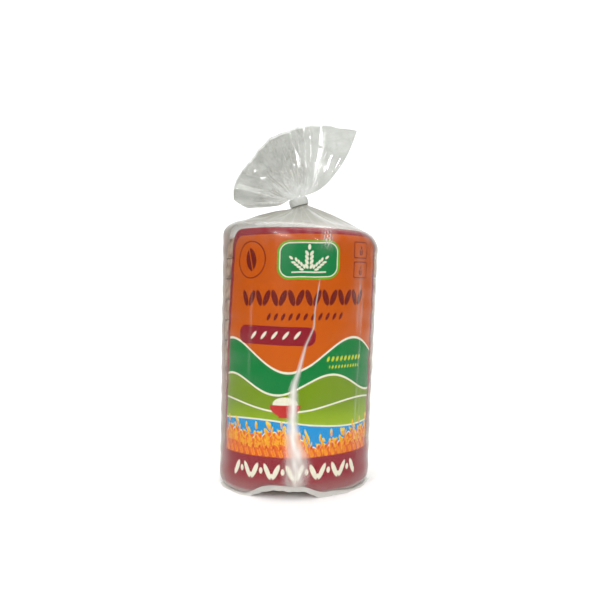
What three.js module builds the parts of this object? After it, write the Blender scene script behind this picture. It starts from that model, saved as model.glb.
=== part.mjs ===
// A pack of puffed rice cakes: twelve round cakes stacked in a clear film bag, which is gathered
// above the stack, closed with a narrow band and left with a fanned tail of film above the band.
// Millimetres, +Z up. The pack stands on its base at the origin and its printed front faces -Y.

import * as THREE from 'three';

// ---- driving dimensions ---------------------------------------------------------------------

// The stack inside the bag.
const CAKE_COUNT = 12;
const CAKE_DIAMETER = 92;
const CAKE_THICKNESS = 12.25;
const BASE_FOLD = 2.5; // film folded over itself under the lowest cake

// The film round the stack. It is snug at the foot and stands off the cakes near the top.
const FILM_SLACK_FOOT = 0.8;
const FILM_SLACK_TOP = 2.6;
const LEAN = 0.039; // sideways lean of the film, mm for each mm of height

// The folded foot: flat underneath, rounded at its edge and tucked up at front and back, where a
// shallow channel runs in towards the middle.
const FLAT_RADIUS = 10;
const FOOT_ROUND = 5.5;
const FRONT_TUCK = { angle: 263, width: 24, height: 6.8 }; // degrees, degrees, mm
const BACK_TUCK = { angle: 90, width: 18, height: 7 };
const RIGHT_LOBE = { angle: 300, width: 14, height: 2 }; // sits a little higher than the left lobe

// The shoulder: a low cone from the top edge of the stack to the neck, steeper on the right.
const SHOULDER_SLOPE = 0.37;
const SHOULDER_SLOPE_SIDE = 0.13;
const SHOULDER_ROUND = 8;
const SHOULDER_PLEATS = 14;
const SHOULDER_PLEAT_DEPTH = 1.0;

// The neck and the band that closes it. The neck stands back from the lean and tilts to the left.
const NECK_HEIGHT = 170.3;
const NECK_BACK = 1.14;
const NECK_TILT = 15; // degrees
const SHOULDER_LEAN_START = 140; // height from which the shoulder is drawn back to the neck
const NECK_RADIUS = 5.05;
const NECK_ROUND = 1.6;
const NECK_SQUEEZE = 0.84; // depth of the neck as a share of its width
const BAND_HEIGHT = 4.8;
const BAND_WALL = 0.8;
const BAND_GAP = 0.3;
const BAND_CLEAR = 0.8; // film left free above the band

// The tail: two layers of film fanned out in pleats. Its free edge runs through these corners,
// each an angle about the neck (degrees from +X towards +Z) and a distance from it.
const TAIL_EDGE = [
  [193.7, 31.2],
  [182.2, 39.9],
  [165.1, 39.6],
  [150, 37.3],
  [135.6, 36.9],
  [113.9, 40.6],
  [99.9, 41.6],
  [80.8, 46.2],
  [68.9, 49.4],
  [58.4, 52.2],
  [48, 57.8],
];
const TAIL_BOW = 35.5; // degrees by which the right edge bellies out near the neck
const TAIL_SAG = 20; // and by which the left edge does
const TAIL_PLEATS = 9.5;
const TAIL_PLEAT_DEPTH = 2.4;
const TAIL_PLEAT_FADE = 0.8; // share of that depth lost by the right wing, which stays smooth
const TAIL_MOUTH = 3.2; // half the opening between the two layers at the free edge
const TAIL_FILM = 0.45; // half the thickness kept at the side folds
const TAIL_CURL_LEFT = -6; // how far the left and right wings curl forward (-) or back (+)
const TAIL_CURL_RIGHT = 5;

// Facets round the film.
const SIDES = 96;

// ---- derived sizes --------------------------------------------------------------------------

const STACK_TOP = BASE_FOLD + CAKE_COUNT * CAKE_THICKNESS;
const FOOT_RADIUS = CAKE_DIAMETER / 2 + FILM_SLACK_FOOT;
const TOP_RADIUS = CAKE_DIAMETER / 2 + FILM_SLACK_TOP;
const BAND_FOOT = 2 * BAND_GAP; // along the neck from where it starts
const NECK_LENGTH = BAND_FOOT + BAND_HEIGHT + BAND_CLEAR;
const HALF_SIDES = SIDES / 2;
const TURN = 2 * Math.PI;

// ---- small helpers --------------------------------------------------------------------------

const { clamp, lerp, smoothstep, degToRad } = THREE.MathUtils;

// A point of a quadratic corner curve that starts at a, bends at b and ends at c.
function corner(a, b, c, t) {
  const ab = lerp(a, b, t);
  const bc = lerp(b, c, t);
  return lerp(ab, bc, t);
}

// A hump in the foot's edge. An even power of 2 is round, and one of 4 has a flat top.
function hump(angle, lift, power) {
  const apart = ((angle - lift.angle + 540) % 360) - 180;
  return lift.height * Math.exp(-((apart / lift.width) ** power));
}

// A zigzag wave between -1 and 1, which gives creased rather than rounded pleats.
function zigzag(x) {
  return (2 / Math.PI) * Math.asin(Math.sin(x));
}

// The distance of the tail's free edge from the neck at an angle in degrees.
function edgeDistance(angle) {
  let k = 1;
  while (k < TAIL_EDGE.length - 1 && TAIL_EDGE[k][0] > angle) {
    k += 1;
  }
  const [angle0, distance0] = TAIL_EDGE[k - 1];
  const [angle1, distance1] = TAIL_EDGE[k];
  return lerp(distance0, distance1, (angle - angle0) / (angle1 - angle0));
}

// How far the film's axis stands to the right at a height.
function axisAt(height) {
  return LEAN * height - NECK_BACK * smoothstep(height, SHOULDER_LEAN_START, NECK_HEIGHT);
}

// Places a point given by its polar angle (degrees), its distance from the pack's axis and its
// height, on the leaning axis.
function onAxis(angle, radius, height) {
  const turn = degToRad(angle);
  const x = axisAt(height) + radius * Math.cos(turn);
  return new THREE.Vector3(x, radius * Math.sin(turn), height);
}

// Places a point of the squeezed, tilted neck by its distance along the neck's own line.
function byNeck(angle, radius, rise) {
  const turn = degToRad(angle);
  const tilt = degToRad(NECK_TILT);
  const level = radius * Math.cos(turn);
  const x = axisAt(NECK_HEIGHT) + level * Math.cos(tilt) - rise * Math.sin(tilt);
  const z = NECK_HEIGHT + level * Math.sin(tilt) + rise * Math.cos(tilt);
  return new THREE.Vector3(x, NECK_SQUEEZE * radius * Math.sin(turn), z);
}

// ---- the film, zone by zone: each takes t from 0 to 1 and the angle round the pack ------------

function wallRadius(height) {
  return lerp(FOOT_RADIUS, TOP_RADIUS, smoothstep(height, 0, STACK_TOP));
}

// How high the lower edge of the foot is lifted by the tucks.
function footLift(angle) {
  return hump(angle, FRONT_TUCK, 4) + hump(angle, BACK_TUCK, 4) + hump(angle, RIGHT_LOBE, 2);
}

// The underside, from the flat middle out to where the foot starts to round.
function underside(t, angle) {
  const radius = lerp(FLAT_RADIUS, FOOT_RADIUS - FOOT_ROUND, t);
  return onAxis(angle, radius, footLift(angle) * smoothstep(t, 0, 1));
}

function footRound(t, angle) {
  const low = footLift(angle);
  const radius = corner(FOOT_RADIUS - FOOT_ROUND, FOOT_RADIUS, FOOT_RADIUS, t);
  return onAxis(angle, radius, corner(low, low, low + FOOT_ROUND, t));
}

function slopeAt(angle) {
  return SHOULDER_SLOPE + SHOULDER_SLOPE_SIDE * Math.cos(degToRad(angle));
}

// The height of the shoulder's cone, which falls from the tilted foot of the neck.
function coneHeight(angle, radius) {
  const turn = degToRad(angle);
  const start = NECK_HEIGHT + NECK_RADIUS * Math.sin(degToRad(NECK_TILT)) * Math.cos(turn);
  return start - slopeAt(angle) * (radius - NECK_RADIUS);
}

// The height at which that cone would meet the wall.
function shoulderHeight(angle) {
  return coneHeight(angle, TOP_RADIUS);
}

function wall(t, angle) {
  const bottom = footLift(angle) + FOOT_ROUND;
  const top = shoulderHeight(angle) - SHOULDER_ROUND;
  const height = lerp(bottom, top, t);
  return onAxis(angle, wallRadius(height), height);
}

function shoulderRound(t, angle) {
  const edge = shoulderHeight(angle);
  const radius = corner(TOP_RADIUS, TOP_RADIUS, TOP_RADIUS - SHOULDER_ROUND, t);
  const inner = edge + slopeAt(angle) * SHOULDER_ROUND;
  return onAxis(angle, radius, corner(edge - SHOULDER_ROUND, edge, inner, t));
}

// The pleats that take up the film's spare width, deepest half way up the cone.
function shoulderPleat(t, angle) {
  const phase = SHOULDER_PLEATS * degToRad(angle) + 0.9 * Math.sin(3 * degToRad(angle));
  return SHOULDER_PLEAT_DEPTH * Math.sin(Math.PI * t) * zigzag(phase);
}

// The cone itself. Its last part is squeezed from front to back to meet the flattened neck.
function shoulderCone(t, angle) {
  const outer = TOP_RADIUS - SHOULDER_ROUND;
  const radius = lerp(outer, NECK_RADIUS + NECK_ROUND, t);
  const point = onAxis(angle, radius, coneHeight(angle, radius) + shoulderPleat(t, angle));
  point.y *= lerp(1, NECK_SQUEEZE, smoothstep(t, 0.6, 1));
  return point;
}

function neckRound(t, angle) {
  const start = shoulderCone(1, angle);
  const turn = byNeck(angle, NECK_RADIUS, 0);
  const end = byNeck(angle, NECK_RADIUS, BAND_GAP);
  const first = start.lerp(turn, t);
  return first.lerp(turn.lerp(end, t), t);
}

function neck(t, angle) {
  return byNeck(angle, NECK_RADIUS, lerp(BAND_GAP, NECK_LENGTH, t));
}

// The depth of the tail's pleats at its free edge: a zigzag of uneven spacing and uneven depth.
function tailPleat(across) {
  const phase = TURN * (TAIL_PLEATS * across + 0.4 * Math.sin(TURN * 1.3 * across + 0.7));
  const uneven = 0.75 + 0.25 * Math.sin(TURN * 2.7 * across + 0.4);
  const kept = 1 - TAIL_PLEAT_FADE * across ** 3;
  const side = clamp(Math.sin(Math.PI * across) * 3, 0, 1);
  return TAIL_PLEAT_DEPTH * side * kept * uneven * zigzag(phase);
}

// The tail. Round the film, the front layer runs from the left fold to the right fold and the
// back layer returns, so both share the same place `across` the fan.
function tail(t, angle) {
  const front = angle >= 180;
  const across = front ? (angle - 180) / 180 : 1 - angle / 180;
  const side = front ? -1 : 1;

  const leftAngle = TAIL_EDGE[0][0];
  const rightAngle = TAIL_EDGE[TAIL_EDGE.length - 1][0];
  const edgeAngle = lerp(leftAngle, rightAngle, across);
  const bow = TAIL_BOW * across ** 2 * (1 - t) ** 1.15;
  const sag = TAIL_SAG * (1 - across) ** 2 * (1 - t) ** 1.5;
  const direction = degToRad(edgeAngle - bow + sag);
  const reach = edgeDistance(edgeAngle) * t;

  const open = smoothstep(t, 0, 0.55);
  const start = neck(1, angle);
  const hub = byNeck(0, 0, NECK_LENGTH);
  const ring = start.sub(hub).multiplyScalar(1 - open);

  const belly = Math.sin(Math.PI * across);
  const gap = open * (TAIL_FILM + (TAIL_MOUTH - TAIL_FILM) * belly * t);
  const pleat = t * tailPleat(across);
  const curl = lerp(TAIL_CURL_LEFT, TAIL_CURL_RIGHT, across) * t * t;
  const fold = clamp(belly * 12, 0, 1);

  const x = hub.x + ring.x + reach * Math.cos(direction);
  const y = ring.y + side * gap * fold + pleat + curl;
  const z = hub.z + ring.z + reach * Math.sin(direction);
  return new THREE.Vector3(x, y, z);
}

// ---- lofting --------------------------------------------------------------------------------

// The zones from the middle of the base to the tail's free edge, with the rings in each. A ring
// at the end of one zone is the start of the next, so only the first zone keeps both ends.
const ZONES = [
  [underside, 5],
  [footRound, 4],
  [wall, 8],
  [shoulderRound, 4],
  [shoulderCone, 7],
  [neckRound, 2],
  [neck, 1],
  [tail, 14],
];

function filmRings() {
  const rings = [];
  for (const [zone, steps] of ZONES) {
    const first = rings.length === 0 ? 0 : 1;
    for (let step = first; step <= steps; step += 1) {
      const ring = [];
      for (let side = 0; side < SIDES; side += 1) {
        const angle = (180 + (360 * side) / SIDES) % 360;
        ring.push(zone(step / steps, angle));
      }
      rings.push(ring);
    }
  }
  return rings;
}

// The band of triangles between two neighbouring rings, facing out.
function ringFaces(faces, below, above) {
  for (let side = 0; side < SIDES; side += 1) {
    const next = (side + 1) % SIDES;
    faces.push(below + side, below + next, above + next);
    faces.push(below + side, above + next, above + side);
  }
}

// The flat middle of the base, a fan about its centre that faces down.
function baseFaces(faces, centre, ring) {
  for (let side = 0; side < SIDES; side += 1) {
    faces.push(centre, ring + ((side + 1) % SIDES), ring + side);
  }
}

// The free edge of the tail: a narrow strip between the front layer and the back layer.
function edgeFaces(faces, ring) {
  for (let side = 0; side < HALF_SIDES; side += 1) {
    const back = ring + ((SIDES - side) % SIDES);
    const nextBack = ring + SIDES - side - 1;
    const front = ring + side;
    if (side < HALF_SIDES - 1) {
      faces.push(front, front + 1, nextBack);
    }
    if (side > 0) {
      faces.push(front, nextBack, back);
    }
  }
}

function buildBag() {
  const rings = filmRings();
  const points = rings.flat();
  const centre = points.length;
  points.push(onAxis(0, 0, 0));

  const faces = [];
  baseFaces(faces, centre, 0);
  for (let ring = 0; ring < rings.length - 1; ring += 1) {
    ringFaces(faces, ring * SIDES, (ring + 1) * SIDES);
  }
  edgeFaces(faces, (rings.length - 1) * SIDES);

  const geometry = new THREE.BufferGeometry().setFromPoints(points);
  geometry.setIndex(faces);
  geometry.computeVertexNormals();
  const material = new THREE.MeshStandardMaterial({ color: 0xc9642a, roughness: 0.25, metalness: 0 });
  const bag = new THREE.Mesh(geometry, material);
  bag.name = 'bag';
  return bag;
}

// The band round the neck: a short sleeve with softly rounded edges.
function buildBand() {
  const inner = NECK_RADIUS + BAND_GAP;
  const outer = inner + BAND_WALL;
  const edge = BAND_WALL / 3;
  const profile = [
    new THREE.Vector2(inner, 0),
    new THREE.Vector2(outer - edge, 0),
    new THREE.Vector2(outer, edge),
    new THREE.Vector2(outer, BAND_HEIGHT - edge),
    new THREE.Vector2(outer - edge, BAND_HEIGHT),
    new THREE.Vector2(inner, BAND_HEIGHT),
    new THREE.Vector2(inner, 0),
  ];
  const geometry = new THREE.LatheGeometry(profile, HALF_SIDES);
  const material = new THREE.MeshStandardMaterial({ color: 0xd5d6ce, roughness: 0.45, metalness: 0 });
  const band = new THREE.Mesh(geometry, material);
  band.name = 'tie';

  // LatheGeometry turns about Y: stand it up, flatten it as the neck is flattened, tilt it.
  const depth = (NECK_RADIUS * NECK_SQUEEZE + BAND_GAP) / (NECK_RADIUS + BAND_GAP);
  geometry.rotateX(Math.PI / 2);
  geometry.scale(1, depth, 1);
  geometry.rotateY(-degToRad(NECK_TILT));
  band.position.copy(byNeck(0, 0, BAND_FOOT));
  return band;
}

const pack = new THREE.Group();
pack.name = 'rice_cake_pack';
pack.add(buildBag(), buildBand());

export default pack;
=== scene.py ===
import math

import bpy
import numpy as np
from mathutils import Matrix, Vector


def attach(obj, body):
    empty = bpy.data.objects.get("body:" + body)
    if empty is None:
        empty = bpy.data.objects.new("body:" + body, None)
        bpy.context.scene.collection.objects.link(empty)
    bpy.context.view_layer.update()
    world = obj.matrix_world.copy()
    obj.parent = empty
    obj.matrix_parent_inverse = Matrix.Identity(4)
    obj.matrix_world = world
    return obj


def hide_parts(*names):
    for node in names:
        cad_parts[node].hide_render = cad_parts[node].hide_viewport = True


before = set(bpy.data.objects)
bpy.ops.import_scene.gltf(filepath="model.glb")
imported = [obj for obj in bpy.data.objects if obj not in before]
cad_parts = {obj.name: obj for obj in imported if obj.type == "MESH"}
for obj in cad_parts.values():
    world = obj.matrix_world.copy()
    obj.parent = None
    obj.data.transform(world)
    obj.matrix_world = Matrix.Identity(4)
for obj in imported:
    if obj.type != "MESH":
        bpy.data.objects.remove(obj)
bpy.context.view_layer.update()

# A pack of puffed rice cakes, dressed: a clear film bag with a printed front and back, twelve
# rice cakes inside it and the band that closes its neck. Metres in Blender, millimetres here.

MM = 0.001
TURN = 2 * math.pi
GOLDEN_TURN = 2.39996  # steps of this turn, in radians, never line up

# ---- sizes, as in the pack's solid, in millimetres

CAKE_COUNT = 12
CAKE_DIAMETER = 92.0
CAKE_THICKNESS = 12.25
BASE_FOLD = 2.5
STACK_TOP = BASE_FOLD + CAKE_COUNT * CAKE_THICKNESS
CAKE_RADIUS = CAKE_DIAMETER / 2 - 0.4  # before its grains stand out

FOOT_RADIUS = CAKE_DIAMETER / 2 + 0.8
TOP_RADIUS = CAKE_DIAMETER / 2 + 2.6
LEAN = 0.039
STACK_LEAN = 0.036

FLAT_RADIUS = 10.0
FOOT_ROUND = 5.5

# Where the foot is tucked up off the floor: the middle, the spread and the lift of each place.
FRONT_TUCK = (263, 24, 6.8)
BACK_TUCK = (90, 18, 7.0)
RIGHT_LOBE = (300, 14, 2.0)

SHOULDER_SLOPE = 0.37
SHOULDER_SLOPE_SIDE = 0.13
SHOULDER_ROUND = 8.0
SHOULDER_PLEATS = 14
SHOULDER_PLEAT_DEPTH = 1.0
SHOULDER_LEAN_START = 140.0

NECK_HEIGHT = 170.3
NECK_BACK = 1.14
NECK_TILT = 15.0
NECK_RADIUS = 5.05
NECK_ROUND = 1.6
NECK_SQUEEZE = 0.84
BAND_HEIGHT = 4.8
BAND_GAP = 0.3
BAND_CLEAR = 0.8
NECK_LENGTH = 2 * BAND_GAP + BAND_HEIGHT + BAND_CLEAR
TAPE_TURNS = 2.15
TAPE_THICKNESS = 0.2
TAPE_STEP = 0.28  # how far out each turn of the tape lies over the last

# The tail's free edge from left to right: its angle from the neck and its distance from it.
TAIL_EDGE_ANGLES = (193.7, 182.2, 165.1, 150.0, 135.6, 113.9, 99.9, 80.8, 68.9, 58.4, 48.0)
TAIL_EDGE_REACH = (31.2, 39.9, 39.6, 37.3, 36.9, 40.6, 41.6, 46.2, 49.4, 52.2, 57.8)
TAIL_BOW = 35.5
TAIL_SAG = 20.0
TAIL_PLEATS = 9.5
TAIL_PLEAT_DEPTH = 2.4
TAIL_PLEAT_FADE = 0.8
TAIL_MOUTH = 3.2
TAIL_FILM = 0.45
TAIL_CURL = (-6.0, 5.0)  # how far the left and the right fold come forward and go back
TAIL_SPREAD = 105.0  # about how wide and how long the tail is when flat
TAIL_REACH = 44.0

# The printed sheets: their span round the pack as angles (the front faces 270), the height of
# their top and bottom edges, and how far inside the film the ink lies.
FRONT = 270.0
BACK = 90.0
FRONT_PANEL = (205.0, 337.6)
BACK_PANEL = (33.0, 147.0)
PANEL_TOP = 153.9
PANEL_FOOT = 1.0
PANEL_CORNER = 9.0
PANEL_FLARE = 0.16  # how much wider the panel is at the foot, where the film is drawn in
FLARE_HEIGHTS = (12.0, 32.0)
FRONT_SLANT = 11.6  # degrees by which the front's left edge comes in on its way up
SLANT_CURVE = 1.6
BORDER_SIDE = 3.0
BORDER_TOP = 4.3
INK_DEPTH = 0.12

# The seals: their span round the pack as angles, and the side seal's foot and top.
SIDE_SEAL = (163.0, 172.0)
SIDE_SEAL_HEIGHTS = (6.0, 168.0)
BASE_SEAL = (196, 352)

# The lowest the film goes: it stands on its own folded seal.
FILM_FLOOR = 0.35

# The film is divided into this many columns round the pack, closest together at the front.
SIDES = 360

# A flat printed sheet spans this much of its UV square, in millimetres, and starts here.
SHEET_SPAN = 200.0
SHEET_START = (-100.0, -30.0)


def smooth(x, low, high):
    """A smooth step from 0 at low to 1 at high."""
    t = np.clip((x - low) / (high - low), 0, 1)
    return t * t * (3 - 2 * t)


def fall(x, low, high):
    """A smooth step from 1 at low down to 0 at high."""
    return 1 - smooth(x, low, high)


def bend(a, b, c, t):
    """A point of a corner curve that starts at a, bends at b and ends at c."""
    return (1 - t) ** 2 * a + 2 * t * (1 - t) * b + t * t * c


def hump(angle, centre, width, height=1.0, power=2):
    """A hump at an angle in degrees. A power of 4 gives it a flat top."""
    apart = (angle - centre + 540) % 360 - 180
    return height * np.exp(-((apart / width) ** power))


def zigzag(x):
    """A wave of straight lines between -1 and 1, one for each turn of x."""
    return 2 / math.pi * np.arcsin(np.sin(x))


# ---- the bag's form, zone by zone
# Each takes t from 0 to 1 and an array of angles, and gives an array of points.


def axis_at(height):
    return LEAN * height - NECK_BACK * smooth(height, SHOULDER_LEAN_START, NECK_HEIGHT)


def on_axis(angle, radius, height):
    turn = np.radians(angle)
    height = height + 0 * angle
    x = axis_at(height) + radius * np.cos(turn)
    return np.stack([x, radius * np.sin(turn), height], axis=-1)


def by_neck(angle, radius, rise):
    """A point of the squeezed, tilted neck, by its height along the neck's own line."""
    turn, tilt = np.radians(angle), math.radians(NECK_TILT)
    level = radius * np.cos(turn)
    x = axis_at(NECK_HEIGHT) + level * math.cos(tilt) - rise * math.sin(tilt)
    z = NECK_HEIGHT + level * math.sin(tilt) + rise * math.cos(tilt)
    return np.stack([x, NECK_SQUEEZE * radius * np.sin(turn), z], axis=-1)


def wall_radius(height):
    return FOOT_RADIUS + (TOP_RADIUS - FOOT_RADIUS) * smooth(height, 0, STACK_TOP)


def foot_lift(angle):
    tucks = hump(angle, *FRONT_TUCK, 4) + hump(angle, *BACK_TUCK, 4)
    return tucks + hump(angle, *RIGHT_LOBE)


def underside(t, angle):
    outer = FOOT_RADIUS - FOOT_ROUND
    radius = t * outer
    return on_axis(angle, radius, foot_lift(angle) * smooth(radius, FLAT_RADIUS, outer))


def foot_round(t, angle):
    low = foot_lift(angle)
    radius = bend(FOOT_RADIUS - FOOT_ROUND, FOOT_RADIUS, FOOT_RADIUS, t)
    return on_axis(angle, radius, bend(low, low, low + FOOT_ROUND, t))


def slope_at(angle):
    return SHOULDER_SLOPE + SHOULDER_SLOPE_SIDE * np.cos(np.radians(angle))


def slope_height(angle, radius):
    """The shoulder's height: it falls from the tilted neck, most steeply on the right."""
    tilted = NECK_RADIUS * math.sin(math.radians(NECK_TILT)) * np.cos(np.radians(angle))
    return NECK_HEIGHT + tilted - slope_at(angle) * (radius - NECK_RADIUS)


def shoulder_height(angle):
    return slope_height(angle, TOP_RADIUS)


def wall(t, angle):
    bottom = foot_lift(angle) + FOOT_ROUND
    top = shoulder_height(angle) - SHOULDER_ROUND
    height = bottom + t * (top - bottom)
    return on_axis(angle, wall_radius(height), height)


def shoulder_round(t, angle):
    edge = shoulder_height(angle)
    radius = bend(TOP_RADIUS, TOP_RADIUS, TOP_RADIUS - SHOULDER_ROUND, t)
    inner = edge + slope_at(angle) * SHOULDER_ROUND
    return on_axis(angle, radius, bend(edge - SHOULDER_ROUND, edge, inner, t))


def shoulder_cone(t, angle):
    outer = TOP_RADIUS - SHOULDER_ROUND
    radius = outer + t * (NECK_RADIUS + NECK_ROUND - outer)
    phase = SHOULDER_PLEATS * np.radians(angle) + 0.9 * np.sin(3 * np.radians(angle))
    pleat = SHOULDER_PLEAT_DEPTH * math.sin(math.pi * t) * zigzag(phase)
    cone = on_axis(angle, radius, slope_height(angle, radius) + pleat)
    squeeze = 1 + (NECK_SQUEEZE - 1) * smooth(t, 0.6, 1)
    return cone * np.array([1, squeeze, 1])


def neck_round(t, angle):
    start = shoulder_cone(1, angle)
    return bend(start, by_neck(angle, NECK_RADIUS, 0), by_neck(angle, NECK_RADIUS, BAND_GAP), t)


def neck(t, angle):
    return by_neck(angle, NECK_RADIUS, BAND_GAP + t * (NECK_LENGTH - BAND_GAP))


def tail_pleat(across):
    phase = TURN * (TAIL_PLEATS * across + 0.4 * np.sin(TURN * 1.3 * across + 0.7))
    uneven = 0.75 + 0.25 * np.sin(TURN * 2.7 * across + 0.4)
    kept = 1 - TAIL_PLEAT_FADE * across ** 3
    side = np.clip(np.sin(math.pi * across) * 3, 0, 1)
    return TAIL_PLEAT_DEPTH * side * kept * uneven * zigzag(phase)


def across_tail(angle):
    """Place across the fan, 0 at the left fold and 1 at the right, and the layer's side."""
    angle = angle % 360
    front = angle >= 180
    across = np.where(front, (angle - 180) / 180, 1 - angle / 180)
    return across, np.where(front, -1.0, 1.0)


def tail(t, angle):
    across, side = across_tail(angle)
    edge_angle = TAIL_EDGE_ANGLES[0] + across * (TAIL_EDGE_ANGLES[-1] - TAIL_EDGE_ANGLES[0])
    bow = TAIL_BOW * across ** 2 * (1 - t) ** 1.15
    sag = TAIL_SAG * (1 - across) ** 2 * (1 - t) ** 1.5
    direction = np.radians(edge_angle - bow + sag)
    reach = t * np.interp(-edge_angle, [-a for a in TAIL_EDGE_ANGLES], TAIL_EDGE_REACH)

    opened = smooth(t, 0, 0.55)
    hub = by_neck(0.0, 0.0, NECK_LENGTH)
    ring = (neck(1, angle) - hub) * (1 - opened)
    belly = np.sin(math.pi * across)
    gap = opened * (TAIL_FILM + (TAIL_MOUTH - TAIL_FILM) * belly * t)
    fold = np.clip(belly * 12, 0, 1)
    curl = (TAIL_CURL[0] + (TAIL_CURL[1] - TAIL_CURL[0]) * across) * t * t

    x = hub[0] + ring[:, 0] + reach * np.cos(direction)
    y = ring[:, 1] + side * gap * fold + t * tail_pleat(across) + curl
    z = hub[2] + ring[:, 2] + reach * np.sin(direction)
    return np.stack([x, y, z], axis=-1)


# The zones from the middle of the base to the free edge of the tail, with the rows in each.
ZONES = (
    (underside, 22), (foot_round, 14), (wall, 96), (shoulder_round, 14), (shoulder_cone, 34),
    (neck_round, 4), (neck, 4), (tail, 70),
)


def film_rows():
    rows = [(underside, 0.0)]
    for zone, steps in ZONES:
        rows += [(zone, (step + 1) / steps) for step in range(steps)]
    return rows


# ---- wrinkles


def creased(x, y, size, count, turn):
    """Sets of straight creases across one another: each is at 1 or -1, with flats between."""
    for k in range(count):
        heading = turn + k * GOLDEN_TURN
        wave = size * (0.7 + 0.16 * k)
        along = x * math.cos(heading) + y * math.sin(heading)
        drift = 0.7 * np.sin(TURN * (x * 0.61 + y * 0.37) / (size * 5.3) + 1.7 * k)
        yield zigzag(TURN * along / wave + drift + 1.8 * k)


def crinkle(x, y, size, count=7, turn=0.0):
    """Flat facets between straight creases, as in stiff film that was crumpled."""
    waves = enumerate(creased(x, y, size, count, turn))
    return sum(0.55 * wave / (1 + 0.2 * k) for k, wave in waves) / count ** 0.5


def crease_wear_and_glints(x, y, size, count, turn):
    """The creases of a crinkle alone, where the film is painted white: partly wear, partly painted
    glints.
    """
    lines = [np.clip((np.abs(wave) - 0.9) / 0.1, 0, 1) for wave in creased(x, y, size, count, turn)]
    return np.max(lines, axis=0)


# The long crease down the front: its place round the pack and half its width, by height.
CREASE_HEIGHTS = (4, 10, 17, 26, 34, 45, 62, 66, 72, 87, 97, 107, 121, 150)
CREASE_PLACES = (1, 1, 2, 1.3, -1, -1.5, -1.5, -1, 1, 4.5, 8.7, 9, 10.8, 15)
CREASE_WIDTHS = (6, 7.5, 8.2, 6.6, 4.8, 3.5, 2.8, 2.5, 1.7, 1.0, 0.8, 0.65, 0.55, 0.5)

# The painted highlight along that crease: how white the film is painted there, by height.
CREASE_HIGHLIGHT_HEIGHTS = (0, 8, 16, 28, 50, 66, 90, 121, 126)
CREASE_HIGHLIGHT = (0.35, 0.6, 0.7, 0.84, 0.86, 0.72, 0.5, 0.4, 0)

# Thin pale streaks over the front, painted reflections of the lights: place round it, foot, top and
# strength.
REFLECTION_STREAKS = ((37.5, 22, 124, 0.26), (34.5, 88, 132, 0.3), (41.5, 14, 70, 0.2), (-31, 60, 128, 0.12))
STREAK_WIDTH = 0.8
STREAK_LEAN = 0.03

# The film is clear over the prints: the middle and half the width of each clear part, in degrees.
CLEAR_FRONT = (273, 65)
CLEAR_BACK = (90, 60)

# Where the film is drawn in beside the front print: the middle, the spread and the strength.
DRAWN_LEFT = (199, 14, 1.5)
DRAWN_RIGHT = (346, 12, 1.0)


def front_arc(angle):
    """The distance round the wall from the middle of the front."""
    return np.radians((angle - FRONT + 540) % 360 - 180) * FOOT_RADIUS


def from_crease(arc, height):
    """The distance from the front crease, in halves of its width there."""
    place = np.interp(height, CREASE_HEIGHTS, CREASE_PLACES)
    return (arc - place) / np.interp(height, CREASE_HEIGHTS, CREASE_WIDTHS)


def wall_wrinkles(angle, height):
    """Height of the film's wrinkles over the stack, outward in millimetres."""
    arc = front_arc(angle)
    facing = hump(angle, FRONT, 62)
    crumple = 0.4 * crinkle(arc, height * 0.55, 24.0) * (1 - 0.8 * facing)
    ripple_top = 0.3 * crinkle(arc, height * 0.4, 11.0, 5, 1.3) * smooth(height, 128, 152)
    ring = -0.22 * np.cos(TURN * (height - BASE_FOLD) / CAKE_THICKNESS) * (1 - facing)
    reach = smooth(height, 58, 76) * fall(height, 118, 126)
    fine = 0.4 * np.exp(-np.abs(from_crease(arc, height))) * reach
    broad = 1.6 * np.exp(-((arc - 0.5) / 7.5) ** 2) * fall(height, 16, 66)
    spread = np.hypot(arc - 1.1, height - 10.0)
    fan = zigzag(np.arctan2(height - 8, arc - 1.1) * 13)
    rays = 0.4 * fan * np.exp(-((spread - 9) / 9.0) ** 2)
    return np.maximum(crumple + ripple_top + ring + fine + broad + rays, -0.15)


def tail_wrinkles(t, angle):
    """Facets pressed into the fanned tail, the same way in both layers but for a little."""
    across, side = across_tail(angle)
    reach = t * TAIL_REACH
    spread = across * TAIL_SPREAD
    share = 1 - 0.6 * smooth(across, 0.6, 0.85)
    cross = 1.5 * crinkle(spread, reach * 0.8, 32.0, 5, 0.4) * share
    facets = 0.42 * crinkle(spread, reach, 14.0, 4, 1.1) * share
    near = fall(t, 0.2, 0.6)
    rays = 0.3 * zigzag(TURN * 27 * across + 2 * np.sin(9 * across)) * near
    fade = smooth(np.minimum(across, 1 - across), 0, 0.06) * smooth(t, 0, 0.25)
    own = 0.35 * crinkle(spread + 31, reach + 11, 13.0, 4, 2.0) * smooth(t, 0.3, 1)
    return -side * (cross + facets + rays) * fade + own * fade


def shoulder_crumple(points):
    return 0.32 * crinkle(points[:, 0], points[:, 1], 17.0)


def wrinkles(zone, t, angle, points):
    height = points[:, 2]
    if zone is tail:
        return tail_wrinkles(t, angle)
    if zone in (wall, foot_round):
        calm = 1.0 if zone is wall else t
        return wall_wrinkles(angle, height) * calm
    if zone is shoulder_round:
        keep = wall_wrinkles(angle, height) * (1 - t)
        return keep + t * shoulder_crumple(points)
    if zone is shoulder_cone:
        return shoulder_crumple(points) * (1 - 0.7 * t)
    if zone is neck:
        return 0.25 * zigzag(np.radians(angle) * 19) * 4 * t * (t - 1)
    return 0 * angle


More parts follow.
